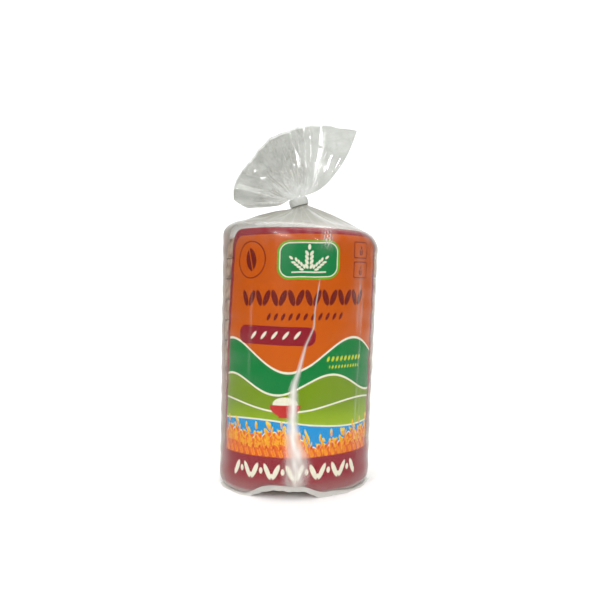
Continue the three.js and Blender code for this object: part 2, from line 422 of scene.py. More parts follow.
def front_highlights_and_haze(angle, height):
    """Painted light over the front print: a highlight along the crease, thin streaks of reflection
    and a glint near its top; with white haze in the folds at its top.
    """
    arc = front_arc(angle)
    away = np.abs(from_crease(arc, height))
    strength = np.interp(height, CREASE_HIGHLIGHT_HEIGHTS, CREASE_HIGHLIGHT)
    rough = 0.35 * crinkle(arc * 1.6, height * 0.7, 7.0, 5, 0.8) * fall(height, 50, 70)
    # Painted highlight: the crease is painted white where the lights' reflection runs down it.
    crease_highlight = strength * fall(away, -0.2, 1.3) * (1 + rough)

    # Painted reflections: a broad pale band down the right of the front and thin pale streaks.
    dull = smooth(height, 90, 115) * fall(height, 135, 150)
    reflection_streaks = 0.13 * dull * np.exp(-((arc - 38) / 4.5) ** 2)
    for place, low, high, amount in REFLECTION_STREAKS:
        reach = smooth(height, low, low + 14) * fall(height, high - 20, high)
        apart = (arc - place - STREAK_LEAN * height) / STREAK_WIDTH
        reflection_streaks = reflection_streaks + amount * reach * np.exp(-apart ** 2)
    patchy = np.clip(0.6 + 0.6 * crinkle(arc * 2.5, height * 0.4, 9.0, 5), 0, 1.3)

    folds = 0.06 * smooth(height, 138, 153) * (0.6 + crinkle(arc, height, 9.0, 5, 0.5))
    # Painted glint: a small white patch of cracks near the top of the front.
    steep, flat = zigzag(1.5 * arc + 0.9 * height), zigzag(1.9 * arc - 0.5 * height)
    cracks = np.abs(steep) ** 3 + np.abs(flat) ** 4
    painted_glint = 0.7 * cracks * np.exp(-((arc - 15.5) / 3.2) ** 2 - ((height - 147) / 5.0) ** 2)
    return crease_highlight + patchy * reflection_streaks + folds + painted_glint


def over_prints(angle):
    """1 over the prints and 0 beside them."""
    return np.clip(hump(angle, *CLEAR_FRONT, 1, 8) + hump(angle, *CLEAR_BACK, 1, 8), 0, 1)


def wall_haze_and_highlights(angle, height):
    """The film over the stack: clear over the prints, milkiest where it is drawn in beside the
    front one, and a little milky round the foot; the front's painted highlight, reflections and
    glint are added as white."""
    arc = front_arc(angle)
    pulled = np.clip(0.75 + 0.8 * crinkle(arc, height * 0.12, 6.0, 4, 0.3), 0.2, 1.3)
    drawn = (hump(angle, *DRAWN_LEFT) + hump(angle, *DRAWN_RIGHT)) * pulled
    side = 0.14 + drawn * (0.3 + 0.24 * fall(height, 20, 120))
    side = side + 0.1 * crinkle(arc, height * 0.3, 12.0, 4) + 0.45 * smooth(height, 138, 148)
    side = side * (1 - over_prints(angle)) * (0.35 + 0.65 * smooth(height, 12, 34))
    foot = 0.3 * fall(height, 2.0, 5.0) + 0.13 * fall(height, 4.0, 14.0)
    # White painted over the front: the crease highlight, the reflections and the glint, added to
    # the film's milkiness.
    white = front_highlights_and_haze(angle, height)
    haze_with_highlights = white + side + foot + 0.004
    return haze_with_highlights, (white + 0.1 * side + 0.8 * foot) / haze_with_highlights


def tail_haze_and_glints(t, angle):
    """The tail: grey where its film is doubled and crumpled and clearer in the right wing, with
    fine white lines painted out from the neck as highlights, and white creases further out that are
    partly wear and partly painted glints."""
    across = across_tail(angle)[0]
    round_way, outward = across * TAIL_SPREAD, t * TAIL_REACH
    bunched = 1 - 0.3 * smooth(across, 0.62, 0.85) * smooth(t, 0.1, 0.5)
    patch = 0.045 * crinkle(across * 90 + 7, outward, 14.0, 5, 0.3)
    grey = (0.46 - 0.13 * fall(t, 0.08, 0.4)) * bunched + patch
    # Painted highlights: fine white lines along the pleats near the neck, standing in for their
    # glints.
    lines = np.abs(zigzag(TURN * 43 * across + 3 * np.sin(11 * across) + 1.5 * t)) ** 6
    broken = np.clip(0.4 + 1.1 * crinkle(across * 60, outward + 19, 17.0, 4, 0.9), 0, 1)
    kept = fall(t, 0.35, 0.95) * fall(across, 0.6, 0.85)
    lines = 0.5 * lines * broken * kept
    # White creases further out: partly stress-whitened wear of the film, partly painted glints.
    patches = np.clip(0.1 + 1.2 * crinkle(round_way + 40, outward, 21.0, 4, 2.2), 0, 1)
    wear_and_glints = 0.34 * crease_wear_and_glints(round_way, outward, 14.0, 4, 1.1) * patches * smooth(t, 0.15, 0.5)
    edge = 0.12 * smooth(t, 0.985, 1.0)
    gathered = 0.26 * grey * fall(t, 0.3, 0.75) * (1 - across)
    haze_with_highlights = grey + lines + wear_and_glints + edge
    return haze_with_highlights, (lines + wear_and_glints + 0.5 * edge + gathered) / haze_with_highlights


def shoulder_cloud(points):
    """The shoulder: grey and bunched, clearer towards the right."""
    x, y = points[:, 0], points[:, 1]
    grey = 0.62 - 0.12 * smooth(x, 8, 34) + 0.08 * smooth(-x, 2, 30)
    grey = grey + 0.05 * crinkle(x, y, 12.0, 5)
    turn = np.arctan2(y, x - axis_at(NECK_HEIGHT))
    lines = 0.08 * np.abs(zigzag(turn * 23 + np.sin(turn * 5))) ** 8
    return grey + lines, (lines + 0.06) / (grey + lines)


def cloud(zone, t, angle, points):
    """How milky the film is, from 0 for clear to 1, and how white that milk is; the painted
    highlights of the front and the tail are counted in as white milk. The shoulder's grey starts
    higher over the prints."""
    if zone is tail:
        return tail_haze_and_glints(t, angle)
    if zone in (wall, foot_round, underside):
        return wall_haze_and_highlights(angle, points[:, 2])
    if zone is neck:
        return 0.34 + 0 * angle, 0.3 + 0 * angle
    high = shoulder_cloud(points)
    if zone is shoulder_round:
        low = wall_haze_and_highlights(angle, points[:, 2])
        t = t + over_prints(angle) * (smooth(t, 0.4, 1) - t)
        return [part * (1 - t) + other * t for part, other in zip(low, high)]
    return high


def column_angles():
    """The angles of the film's columns, from 180 round to 540."""
    fine = np.linspace(180, 540, 3601)
    weight = 1 + 1.7 * hump(fine, FRONT + 1, 14) + 0.4 * hump(fine, FRONT, 60)
    run = np.concatenate([[0], np.cumsum((weight[1:] + weight[:-1]) / 2)])
    return np.interp(np.linspace(0, run[-1], SIDES + 1), run, fine)


COLUMN_ANGLES = column_angles()


def wrinkle_ways(rows, angles, normals):
    """The ways the wrinkles go: outward, and straight to front or back in the tail."""
    ways = normals.copy()
    side = across_tail(angles)[1]
    for row, (zone, _) in enumerate(rows):
        if zone is tail:
            ways[row] = 0
            ways[row, :, 1] = side
    return ways


def film_grid():
    """The whole film as rows from base to tail and SIDES + 1 columns: its points, its normals and
    how milky and how white it is, with its painted highlights."""
    angles = COLUMN_ANGLES[:-1]
    rows = film_rows()
    points = np.array([zone(t, angles) for zone, t in rows])
    round_way = np.roll(points, -1, axis=1) - np.roll(points, 1, axis=1)
    up_way = np.gradient(points, axis=0)
    normals = np.cross(round_way, up_way)
    length = np.linalg.norm(normals, axis=-1, keepdims=True)
    normals = normals / np.maximum(length, 1e-9)
    depth = np.array([wrinkles(zone, t, angles, row) for (zone, t), row in zip(rows, points)])
    haze_with_highlights = np.array([cloud(zone, t, angles, row) for (zone, t), row in zip(rows, points)])
    haze_with_highlights = np.moveaxis(haze_with_highlights, 1, -1)
    points = points + depth[..., None] * wrinkle_ways(rows, angles, normals)
    points[:, :, 2] = np.maximum(points[:, :, 2], FILM_FLOOR)
    return [np.concatenate([grid, grid[:, :1]], axis=1) for grid in (points, normals, haze_with_highlights)]


FILM, FILM_NORMALS, FILM_HAZE_AND_HIGHLIGHTS = film_grid()


def rows_before(zone):
    """The number of the row that a zone starts from."""
    total = 0
    for other, steps in ZONES:
        if other is zone:
            return total
        total += steps
    raise ValueError("no such zone")


def film_lengths():
    """Each point's place along the film: its height on the wall, then on along the surface."""
    steps = np.linalg.norm(np.diff(FILM, axis=0), axis=-1)
    run = np.concatenate([np.zeros((1, FILM.shape[1])), np.cumsum(steps, axis=0)])
    start = rows_before(wall)
    return run - run[start] + FILM[start, :, 2]


FILM_LENGTHS = film_lengths()


def on_film(angles, lengths, lift):
    """Points of the film at angles and at places along it, lifted outward by a little."""
    angles = np.broadcast_to(angles, np.shape(lengths))
    column = np.interp((angles - 180) % 360 + 180, COLUMN_ANGLES, np.arange(SIDES + 1))
    left = np.minimum(column.astype(int), SIDES - 1)
    share = column - left
    rows = np.arange(len(FILM_LENGTHS))
    row = np.array([
        np.interp(length, (1 - part) * FILM_LENGTHS[:, at] + part * FILM_LENGTHS[:, at + 1], rows)
        for length, at, part in zip(lengths, left, share)
    ])
    low = np.minimum(row.astype(int), len(rows) - 2)
    rise, share = (row - low)[:, None], share[:, None]

    def sample(grid):
        under = (1 - share) * grid[low, left] + share * grid[low, left + 1]
        over = (1 - share) * grid[low + 1, left] + share * grid[low + 1, left + 1]
        return (1 - rise) * under + rise * over

    return sample(FILM) + lift * sample(FILM_NORMALS)


# ---- modelling helpers


def deselect():
    if bpy.context.object and bpy.context.object.mode != "OBJECT":
        bpy.ops.object.mode_set(mode="OBJECT")
    bpy.ops.object.select_all(action="DESELECT")


def select_only(piece):
    deselect()
    piece.select_set(True)
    bpy.context.view_layer.objects.active = piece


def spots_of(piece):
    """The places of a piece's points, one row for each."""
    spots = np.empty(len(piece.data.vertices) * 3)
    piece.data.vertices.foreach_get("co", spots)
    return spots.reshape(-1, 3)


def mark_points(piece, name, values):
    """Keeps a number from 0 to 1 at each point of a piece, for its material."""
    marks = piece.data.attributes.new(name, "FLOAT", "POINT")
    marks.data.foreach_set("value", np.clip(values, 0, 1).astype(np.float32))


def modify(piece, name, kind, **settings):
    """Adds a modifier with its settings and applies it."""
    modifier = piece.modifiers.new(name, kind)
    for key, value in settings.items():
        setattr(modifier, key, value)
    bpy.ops.object.modifier_apply(modifier=modifier.name)


def finish_piece(piece, name, material, smooth_angle=None):
    """Bakes the piece's place into its mesh, names it and gives it its finish."""
    select_only(piece)
    bpy.ops.object.transform_apply(location=True, rotation=True, scale=True)
    if smooth_angle is None:
        bpy.ops.object.shade_smooth()
    else:
        bpy.ops.object.shade_smooth_by_angle(angle=math.radians(smooth_angle))
    piece.name = name
    piece.data.name = name
    piece.data.materials.clear()
    piece.data.materials.append(material)
    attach(piece, "root")
    return piece


def sheet_of_film(points, places=None, haze_with_highlights=None):
    """A flat sheet laid along a grid of points in millimetres, with the places on the flat sheet as
    its UV and how milky and how white each point is, painted highlights included."""
    rows, columns = points.shape[:2]
    deselect()
    bpy.ops.mesh.primitive_grid_add(x_subdivisions=columns - 1, y_subdivisions=rows - 1, size=1)
    sheet = bpy.context.object
    flat = spots_of(sheet)
    column = np.rint((flat[:, 0] + 0.5) * (columns - 1)).astype(int)
    row = np.rint((flat[:, 1] + 0.5) * (rows - 1)).astype(int)
    sheet.data.vertices.foreach_set("co", (points[row, column] * MM).ravel())
    if places is not None:
        corner = np.empty(len(sheet.data.loops), dtype=np.int32)
        sheet.data.loops.foreach_get("vertex_index", corner)
        uv = places[row[corner], column[corner]]
        sheet.data.uv_layers.active.data.foreach_set("uv", uv.ravel())
    if haze_with_highlights is not None:
        for part, name in enumerate(("film_haze_and_highlight", "film_white")):
            mark_points(sheet, name, haze_with_highlights[row, column, part])
    sheet.data.update()
    return sheet


def weld(piece, distance=0.00001):
    select_only(piece)
    bpy.ops.object.mode_set(mode="EDIT")
    bpy.ops.mesh.select_all(action="SELECT")
    bpy.ops.mesh.remove_doubles(threshold=distance)
    bpy.ops.object.mode_set(mode="OBJECT")


# ---- materials


class Shader:
    """A material's nodes, with short words for the sums that its pattern needs."""

    def __init__(self, name):
        self.material = bpy.data.materials.new(name)
        self.material.use_nodes = True
        self.tree = self.material.node_tree
        self.tree.nodes.clear()
        self.output = self.tree.nodes.new("ShaderNodeOutputMaterial")

    def node(self, kind, inputs=None, **settings):
        node = self.tree.nodes.new(kind)
        for key, value in settings.items():
            setattr(node, key, value)
        for key, value in (inputs or {}).items():
            self.feed(node.inputs[key], value)
        return node

    def feed(self, socket, value):
        if isinstance(value, bpy.types.NodeSocket):
            self.tree.links.new(value, socket)
        else:
            socket.default_value = value

    def math(self, operation, *values):
        return self.node("ShaderNodeMath", dict(enumerate(values)), operation=operation).outputs[0]

    def vector(self, operation, *values):
        node = self.node("ShaderNodeVectorMath", dict(enumerate(values)), operation=operation)
        as_number = operation in ("LENGTH", "DOT_PRODUCT")
        return node.outputs["Value"] if as_number else node.outputs[0]

    def parts(self, vector):
        return self.node("ShaderNodeSeparateXYZ", {0: vector}).outputs

    def mix(self, share, under, over):
        node = self.node("ShaderNodeMix", {0: share, 6: under, 7: over}, data_type="RGBA")
        return node.outputs[2]

    def noise(self, place, scale, detail=2.0, rough=0.5):
        inputs = {"Vector": place, "Scale": scale, "Detail": detail, "Roughness": rough}
        return self.node("ShaderNodeTexNoise", inputs).outputs["Fac"]

    def ramp(self, value, low, high, start=0.0, end=1.0):
        inputs = {0: value, 1: low, 2: high, 3: start, 4: end}
        return self.node("ShaderNodeMapRange", inputs).outputs[0]

    def object_place(self):
        return self.node("ShaderNodeTexCoord").outputs["Object"]

    def mark(self, name):
        """The number that a sheet or a cake keeps at each point under this name."""
        return self.node("ShaderNodeAttribute", attribute_name=name).outputs["Fac"]

    def raise_skin(self, skin, height, strength, distance):
        inputs = {"Strength": strength, "Distance": distance, "Height": height}
        self.feed(skin.inputs["Normal"], self.node("ShaderNodeBump", inputs).outputs[0])

    def blend(self, share, under, over):
        """A mix of two shaders."""
        node = self.node("ShaderNodeMixShader", {0: share, 1: under, 2: over})
        return node.outputs[0]

    def surface(self, shader):
        self.tree.links.new(shader, self.output.inputs["Surface"])
        return self.material


def srgb(red, green, blue):
    """A colour given as 0 to 255, as linear light with full alpha."""
    def linear(part):
        part /= 255
        return part / 12.92 if part <= 0.04045 else ((part + 0.055) / 1.055) ** 2.4
    return (linear(red), linear(green), linear(blue), 1.0)


# ---- film, band, grain and floor

# Over these heights, in metres, the film's shine goes from the bag's to the tail's.
NECK_BAND_SPAN = (0.164, 0.172)


def film_material(name, tint, haze=None, white=None):
    """Clear film: most light passes, the milky share is scattered, and the surface mirrors like
    plastic. The milky share and its whiteness are the sheet's own unless they are given."""
    film = Shader(name)
    place = film.object_place()
    # The sheet's milky share and whiteness also carry the painted highlights of the front and the
    # tail.
    share = haze or film.mark("film_haze_and_highlight")
    pale = white or film.mark("film_white")
    mottle = film.ramp(film.noise(place, 90.0, 3.0), 0.3, 0.7, 0.9, 1.1)
    through = film.node("ShaderNodeBsdfTransparent", {"Color": tint}).outputs[0]
    height = film.parts(place)[2]
    # The milk is browner over the stack than on the shoulder and the tail.
    grey = film.mix(film.ramp(height, 0.148, 0.158), srgb(138, 108, 94), srgb(126, 126, 114))
    tone = film.mix(pale, grey, srgb(250, 247, 240))
    milk = film.node("ShaderNodeBsdfPrincipled", {"Base Color": tone, "Roughness": 0.6})
    milk.inputs["Specular IOR Level"].default_value = 0.0
    body = film.blend(film.math("MULTIPLY", share, mottle), through, milk.outputs[0])
    sharp = film.node("ShaderNodeBsdfGlossy", {"Roughness": 0.06}).outputs[0]
    soft = film.node("ShaderNodeBsdfGlossy", {"Roughness": 0.3}).outputs[0]
    gloss = film.blend(film.ramp(height, *NECK_BAND_SPAN, 0.8, 0.2), sharp, soft)
    slant = film.node("ShaderNodeLayerWeight", {"Blend": 0.5}).outputs["Facing"]
    straight = film.ramp(height, *NECK_BAND_SPAN, 0.03, 0.06)
    mirror = film.math("MULTIPLY_ADD", film.math("POWER", slant, 5.0), 0.8, straight)
    return film.surface(film.blend(mirror, body, gloss))


def band_material():
    """Frosted soft plastic tape that lets half the light through."""
    band = Shader("frosted_band")
    place = band.object_place()
    fine = band.noise(place, 900.0, 3.0)
    cloud = band.noise(place, 160.0, 2.0)
    colour = band.mix(band.ramp(cloud, 0.35, 0.65), srgb(226, 228, 222), srgb(240, 241, 237))
    skin = band.node("ShaderNodeBsdfPrincipled", {"Base Color": colour})
    band.feed(skin.inputs["Roughness"], band.ramp(fine, 0.3, 0.7, 0.35, 0.55))
    band.raise_skin(skin, fine, 0.25, 0.0002)
    through = band.node("ShaderNodeBsdfTransparent", {"Color": (0.93, 0.94, 0.92, 1)}).outputs[0]
    return band.surface(band.blend(0.66, through, skin.outputs[0]))


def grain_material():
    """Popped rice: each grain its own tone, with painted light on its crest and painted shade in
    the gaps between grains.
    """
    grain = Shader("puffed_grain")
    place = grain.object_place()
    cells = grain.node("ShaderNodeTexVoronoi", {"Vector": place, "Scale": 210.0})
    tone = grain.parts(cells.outputs["Color"])
    depth = grain.mark("grain_depth")
    base = grain.mix(tone[0], srgb(184, 150, 122), srgb(210, 182, 154))
    base = grain.mix(grain.ramp(tone[1], 0.86, 0.9, 0.0, 0.5), base, srgb(128, 92, 68))
    # Painted light on the grains' crests and painted shade in the gaps between them, by the depth
    # of each spot.
    base = grain.mix(grain.ramp(depth, 0.6, 1.0, 0.0, 0.5), base, srgb(228, 208, 182))
    base = grain.mix(grain.ramp(depth, 0.0, 0.4, 1.0, 0.0), base, srgb(120, 86, 64))
    speck = grain.noise(place, 1500.0, 2.0)
    base = grain.mix(grain.ramp(speck, 0.62, 0.7, 0.0, 0.5), base, srgb(120, 84, 58))
    skin = grain.node("ShaderNodeBsdfPrincipled", {"Base Color": base})
    grain.feed(skin.inputs["Roughness"], grain.ramp(speck, 0.3, 0.7, 0.75, 0.95))
    grain.raise_skin(skin, speck, 0.5, 0.0003)
    return grain.surface(skin.outputs[0])


def floor_material():
    """A pale, matt floor."""
    floor = Shader("pale_floor")
    cloud = floor.noise(floor.object_place(), 3.0, 2.0)
    tone = floor.mix(cloud, srgb(240, 241, 240), srgb(246, 246, 245))
    skin = floor.node("ShaderNodeBsdfPrincipled", {"Base Color": tone, "Roughness": 0.8})
    return floor.surface(skin.outputs[0])


# ---- print

ORANGE = srgb(208, 90, 2)
DEEP_ORANGE = srgb(216, 80, 4)
LIGHT_ORANGE = srgb(244, 140, 10)
MAROON = srgb(148, 26, 42)
DARK_MAROON = srgb(118, 30, 22)
DARK_GREEN = srgb(0, 128, 58)
LEAF_GREEN = srgb(20, 130, 70)
LIME = srgb(112, 172, 40)
LIGHT_GREEN = srgb(120, 150, 0)
YELLOW_GREEN = srgb(158, 186, 14)
YELLOW = srgb(206, 214, 40)
BLUE = srgb(10, 146, 214)
PALE_GOLD = srgb(250, 210, 60)
GOLD = srgb(244, 168, 16)
AMBER = srgb(234, 104, 6)
CREAM = srgb(240, 234, 214)
RED = srgb(198, 44, 40)
INK_EDGE = 0.14  # half the width of an ink's soft edge, in millimetres


class Print(Shader):
    """Inks laid over one another on a flat sheet, whose places are in millimetres."""

    def __init__(self, name, ground):
        super().__init__(name)
        flat = self.node("ShaderNodeUVMap", uv_map="UVMap").outputs[0]
        spread = (SHEET_SPAN, SHEET_SPAN, 0)
        self.place = self.vector("MULTIPLY_ADD", flat, spread, (*SHEET_START, 0))
        self.across = self.vector("DOT_PRODUCT", self.place, (1, 0, 0))
        self.along = self.vector("DOT_PRODUCT", self.place, (0, 1, 0))
        self.turned_places = {}
        self.colour = ground

    def lay(self, shape, ink):
        self.colour = self.mix(shape, self.colour, ink)

    def turned(self, turn, place):
        """The sheet turned about its zero, so that shapes at that angle lie straight on it."""
        if turn == 0:
            return place
        if (place, turn) not in self.turned_places:
            cosine, sine = math.cos(math.radians(turn)), math.sin(math.radians(turn))
            across = self.vector("DOT_PRODUCT", place, (cosine, sine, 0))
            along = self.vector("DOT_PRODUCT", place, (-sine, cosine, 0))
            straight = self.node("ShaderNodeCombineXYZ", {0: across, 1: along})
            self.turned_places[place, turn] = straight.outputs[0]
        return self.turned_places[place, turn]

    def centred(self, x, y, turn, wide, high, place):
        """The sheet from the middle of a shape, measured in that shape's own sizes."""
        turn_back = math.radians(turn)
        middle_x = x * math.cos(turn_back) + y * math.sin(turn_back)
        middle_y = y * math.cos(turn_back) - x * math.sin(turn_back)
        scale = (1 / wide, 1 / high, 0)
        shift = (-middle_x / wide, -middle_y / high, 0)
        return self.vector("MULTIPLY_ADD", self.turned(turn, place or self.place), scale, shift)

    def within(self, value, limit, edge=INK_EDGE):
        """How far a value is inside its limit, 1 or more inside the soft edge and 0 or less
        outside. Inks are laid with it as it is, and shapes joined by the least or the most."""
        return self.math("MULTIPLY_ADD", value, -0.5 / edge, (limit + edge) * 0.5 / edge)

    def oval(self, x, y, wide, high, turn=0, place=None):
        near = self.centred(x, y, turn, wide / 2, high / 2, place)
        return self.within(self.vector("LENGTH", near), 1, 2 * INK_EDGE / min(wide, high))

    def block(self, x, y, wide, high, rounding, turn=0, place=None):
        near = self.vector("ABSOLUTE", self.centred(x, y, turn, 1, 1, place))
        flat = (wide / 2 - rounding, high / 2 - rounding, 0)
        past = self.vector("MAXIMUM", self.vector("SUBTRACT", near, flat), (0, 0, 0))
        return self.within(self.vector("LENGTH", past), rounding)

    def under(self, level, rise, period, peak, lift=0.0):
        """Everything below a wavy line whose crest is at `peak`."""
        start = math.pi / 2 - TURN * peak / period
        phase = self.math("MULTIPLY_ADD", self.across, TURN / period, start)
        line = self.math("MULTIPLY_ADD", self.math("SINE", phase), rise, level + lift)
        return self.within(self.math("SUBTRACT", self.along, line), 0)

    def both(self, one, other):
        return self.math("MINIMUM", one, other)

    def any_of(self, shapes):
        total = shapes[0]
        for shape in shapes[1:]:
            total = self.math("MAXIMUM", total, shape)
        return total

    def repeat(self, period, start=0.0, place=None):
        """The sheet folded so that whatever is drawn round 0 repeats along it."""
        far = 1000.0
        high, low = (start + period / 2, far, 0), (start - period / 2, -far, 0)
        folded = self.vector("WRAP", place or self.place, high, low)
        return self.vector("SUBTRACT", folded, (start, 0, 0))

    def ear(self, x, y, size, turn=0, pairs=3, place=None):
        """An ear of grain: a tip grain over pairs of grains that lean outward."""
        spots = [(0.0, pairs * 1.15 + 0.5, 0)]
        for pair in range(pairs):
            spots += [(side * 0.62, pair * 1.15, -side * 28) for side in (-1, 1)]
        heading = math.radians(turn)
        grains = []
        for across, along, lean in spots:
            at_x = x + size * (across * math.cos(heading) - along * math.sin(heading))
            at_y = y + size * (across * math.sin(heading) + along * math.cos(heading))
            grains.append(self.oval(at_x, at_y, 0.78 * size, 1.5 * size, turn + lean, place))
        return self.any_of(grains)

    def printed(self):
        """The finished ink: slightly mottled, half matt under the film."""
        place = self.object_place()
        mottle = self.ramp(self.noise(place, 420.0, 4.0, 0.65), 0.3, 0.7, 0.93, 1.05)
        tone = self.node("ShaderNodeHueSaturation", {"Color": self.colour, "Value": mottle})
        ink = self.node("ShaderNodeBsdfPrincipled", {"Base Color": tone.outputs[0]})
        self.feed(ink.inputs["Roughness"], self.ramp(mottle, 0.93, 1.05, 0.5, 0.38))
        ink.inputs["Specular IOR Level"].default_value = 0.1
        return self.surface(ink.outputs[0])


def edge_frame(sheet, angles, middle, ink, slant=0.0):
    """A border round the panel. Its left side comes in by `slant` degrees, as the panel does."""
    left, right = [math.radians(angle - middle) * FOOT_RADIUS for angle in angles]
    low, high = PANEL_FOOT - 30, PANEL_TOP - BORDER_TOP
    rise = sheet.math("MAXIMUM", sheet.math("MULTIPLY", sheet.along, 1 / PANEL_TOP), 0.0)
    narrower = -slant / (angles[1] - angles[0])
    share = sheet.math("MULTIPLY", sheet.math("POWER", rise, SLANT_CURVE), narrower)
    from_right = sheet.math("SUBTRACT", sheet.across, right)
    run = sheet.math("DIVIDE", from_right, sheet.math("ADD", share, 1.0))
    place = sheet.node("ShaderNodeCombineXYZ", {0: run, 1: sheet.along}).outputs[0]
    wide, high_middle = right - left, (low + high) / 2
    size = (wide - 2 * BORDER_SIDE, high - low)
    inside = sheet.block(-wide / 2, high_middle, *size, PANEL_CORNER - 2, 0, place)
    sheet.lay(sheet.math("SUBTRACT", 1.0, inside), ink)


def foot_band(sheet, ink, ornament):
    """The plain band round the foot with a row of bold grains and dots."""
    middle, period = 0.5, 13.2
    sheet.lay(sheet.under(24.0, 0.0, 100.0, 0.0), ink)
    cell = sheet.repeat(period, middle)
    marks = [sheet.oval(2.6 * side, 15.6, 2.8, 9.6, -24 * side, cell) for side in (-1, 1)]
    marks.append(sheet.oval(0, 13.2, 2.0, 2.6, 0, cell))
    between = sheet.repeat(period, middle + period / 2)
    marks.append(sheet.oval(0, 15.9, 2.2, 3.6, 0, between))
    kept = sheet.block(middle, 15.6, 79.0, 14, 0.5)
    sheet.lay(sheet.both(sheet.any_of(marks), kept), ornament)


def hill(sheet, level, rise, period, peak, outline, ink):
    """Everything below a broad wave, with a pale outline along it."""
    sheet.lay(sheet.under(level, rise, period, peak, outline), CREAM)
    sheet.lay(sheet.under(level, rise, period, peak), ink)


def green_hills(sheet):
    """Broad waves of green with pale outlines, over a blue ribbon."""
    hill(sheet, 80.5, 9.5, 77.0, 34.0, 1.3, DARK_GREEN)
    hill(sheet, 64.0, 5.5, 62.0, -42.0, 1.2, LIGHT_GREEN)
    yellower = sheet.mix(sheet.ramp(sheet.along, 40.0, 54.0), YELLOW_GREEN, LIGHT_GREEN)
    hill(sheet, 52.0, 3.0, 90.0, 40.0, 1.0, yellower)
    hill(sheet, 42.0, 2.6, 124.0, -24.0, 0.9, BLUE)


def ear_row(sheet, place, turn, layers):
    """A row of ears of grain, each of them one ear laid over another."""
    for foot, size, ink in layers:
        sheet.lay(sheet.ear(0, foot, size, turn, 3, place), ink)


def grain_field(sheet):
    """Ripe ears of uneven height along the foot of the picture, gold over amber."""
    rise = sheet.math("SINE", sheet.math("MULTIPLY", sheet.across, 0.19))
    again = sheet.math("SINE", sheet.math("MULTIPLY_ADD", sheet.across, 1.13, 2.0))
    near = sheet.math("ABSOLUTE", sheet.math("SUBTRACT", sheet.across, 18.5))
    dip = sheet.math("MAXIMUM", sheet.math("MINIMUM", sheet.within(near, 13.0, 3.0), 1.0), 0.0)
    heights = sheet.math("MULTIPLY_ADD", rise, 1.2, sheet.math("MULTIPLY", again, -1.0))
    heights = sheet.math("MULTIPLY_ADD", dip, 6.5, heights)
    shift = sheet.node("ShaderNodeCombineXYZ", {0: sheet.math("MULTIPLY", again, 0.7), 1: heights})
    uneven = sheet.vector("ADD", sheet.place, shift.outputs[0])
    level = sheet.vector("DOT_PRODUCT", uneven, (0, 1, 0))
    sheet.lay(sheet.within(level, 36.6), CREAM)
    sheet.lay(sheet.within(level, 35.9), AMBER)
    back = sheet.repeat(7.4, 1.0, uneven)
    ear_row(sheet, back, 8, ((32.4, 2.5, PALE_GOLD), (32.5, 2.15, GOLD), (32.3, 1.2, AMBER)))
    front = sheet.repeat(5.6, 0.0, uneven)
    ear_row(sheet, front, -14, ((29.6, 2.0, AMBER), (30.0, 1.35, GOLD)))
    low = sheet.repeat(4.3, 1.5)
    ear_row(sheet, low, 22, ((24.6, 1.9, DEEP_ORANGE), (24.9, 1.2, LIGHT_ORANGE)))


def plaque(sheet, x, y):
    """A green plaque with a lime rim and three pale ears of grain."""
    for inset, ink in ((0, LIME), (1.2, CREAM), (1.8, LEAF_GREEN)):
        sheet.lay(sheet.block(x, y, 35 - 2 * inset, 22 - 2 * inset, 7 - inset), ink)
    ears = [sheet.ear(x, y - 3.6, 2.1, 0, 4)]
    ears += [sheet.ear(x - side * 3.4, y - 4.6, 1.7, side * 48, 4) for side in (1, -1)]
    sheet.lay(sheet.any_of(ears), CREAM)
    sheet.lay(sheet.block(x, y - 6.9, 19.0, 0.8, 0.3), CREAM)


def leaf_ring(sheet, x, y):
    """A thin ring with a leaf in it."""
    sheet.lay(sheet.oval(x, y, 19.0, 21.4), DARK_MAROON)
    sheet.lay(sheet.oval(x, y, 17.8, 20.2), ORANGE)
    sides = [sheet.oval(x + side, y, 12.0, 15.0, 14) for side in (-2.6, 2.6)]
    sheet.lay(sheet.both(*sides), DARK_MAROON)
    sheet.lay(sheet.block(x, y - 0.5, 0.7, 15.0, 0.2, 14), ORANGE)


def framed_ear(sheet, x, y):
    sheet.lay(sheet.block(x, y, 11.6, 9.6, 1.2), DARK_MAROON)
    sheet.lay(sheet.block(x, y, 10.5, 8.5, 0.8), ORANGE)
    sheet.lay(sheet.ear(x, y - 2.2, 1.25, 0, 2), DARK_MAROON)


def bowl(sheet, x, y):
    """A red bowl heaped with pale rice."""
    sheet.lay(sheet.oval(x, y + 0.6, 14.0, 8.0), CREAM)
    sheet.lay(sheet.both(sheet.oval(x, y, 17.5, 13.0), sheet.under(y, 0.0, 100.0, 0.0)), RED)
    sheet.lay(sheet.block(x, y - 6.4, 7.0, 1.4, 0.4), RED)


def grain_row(sheet, x, y, wide, period, size, turn, ink, high=7.0, rounding=0.5):
    """A row of slanting grains, kept to a stretch of the sheet."""
    grain = sheet.oval(0, y, *size, turn, sheet.repeat(period, x))
    sheet.lay(sheet.both(grain, sheet.block(x, y, wide, high, rounding)), ink)


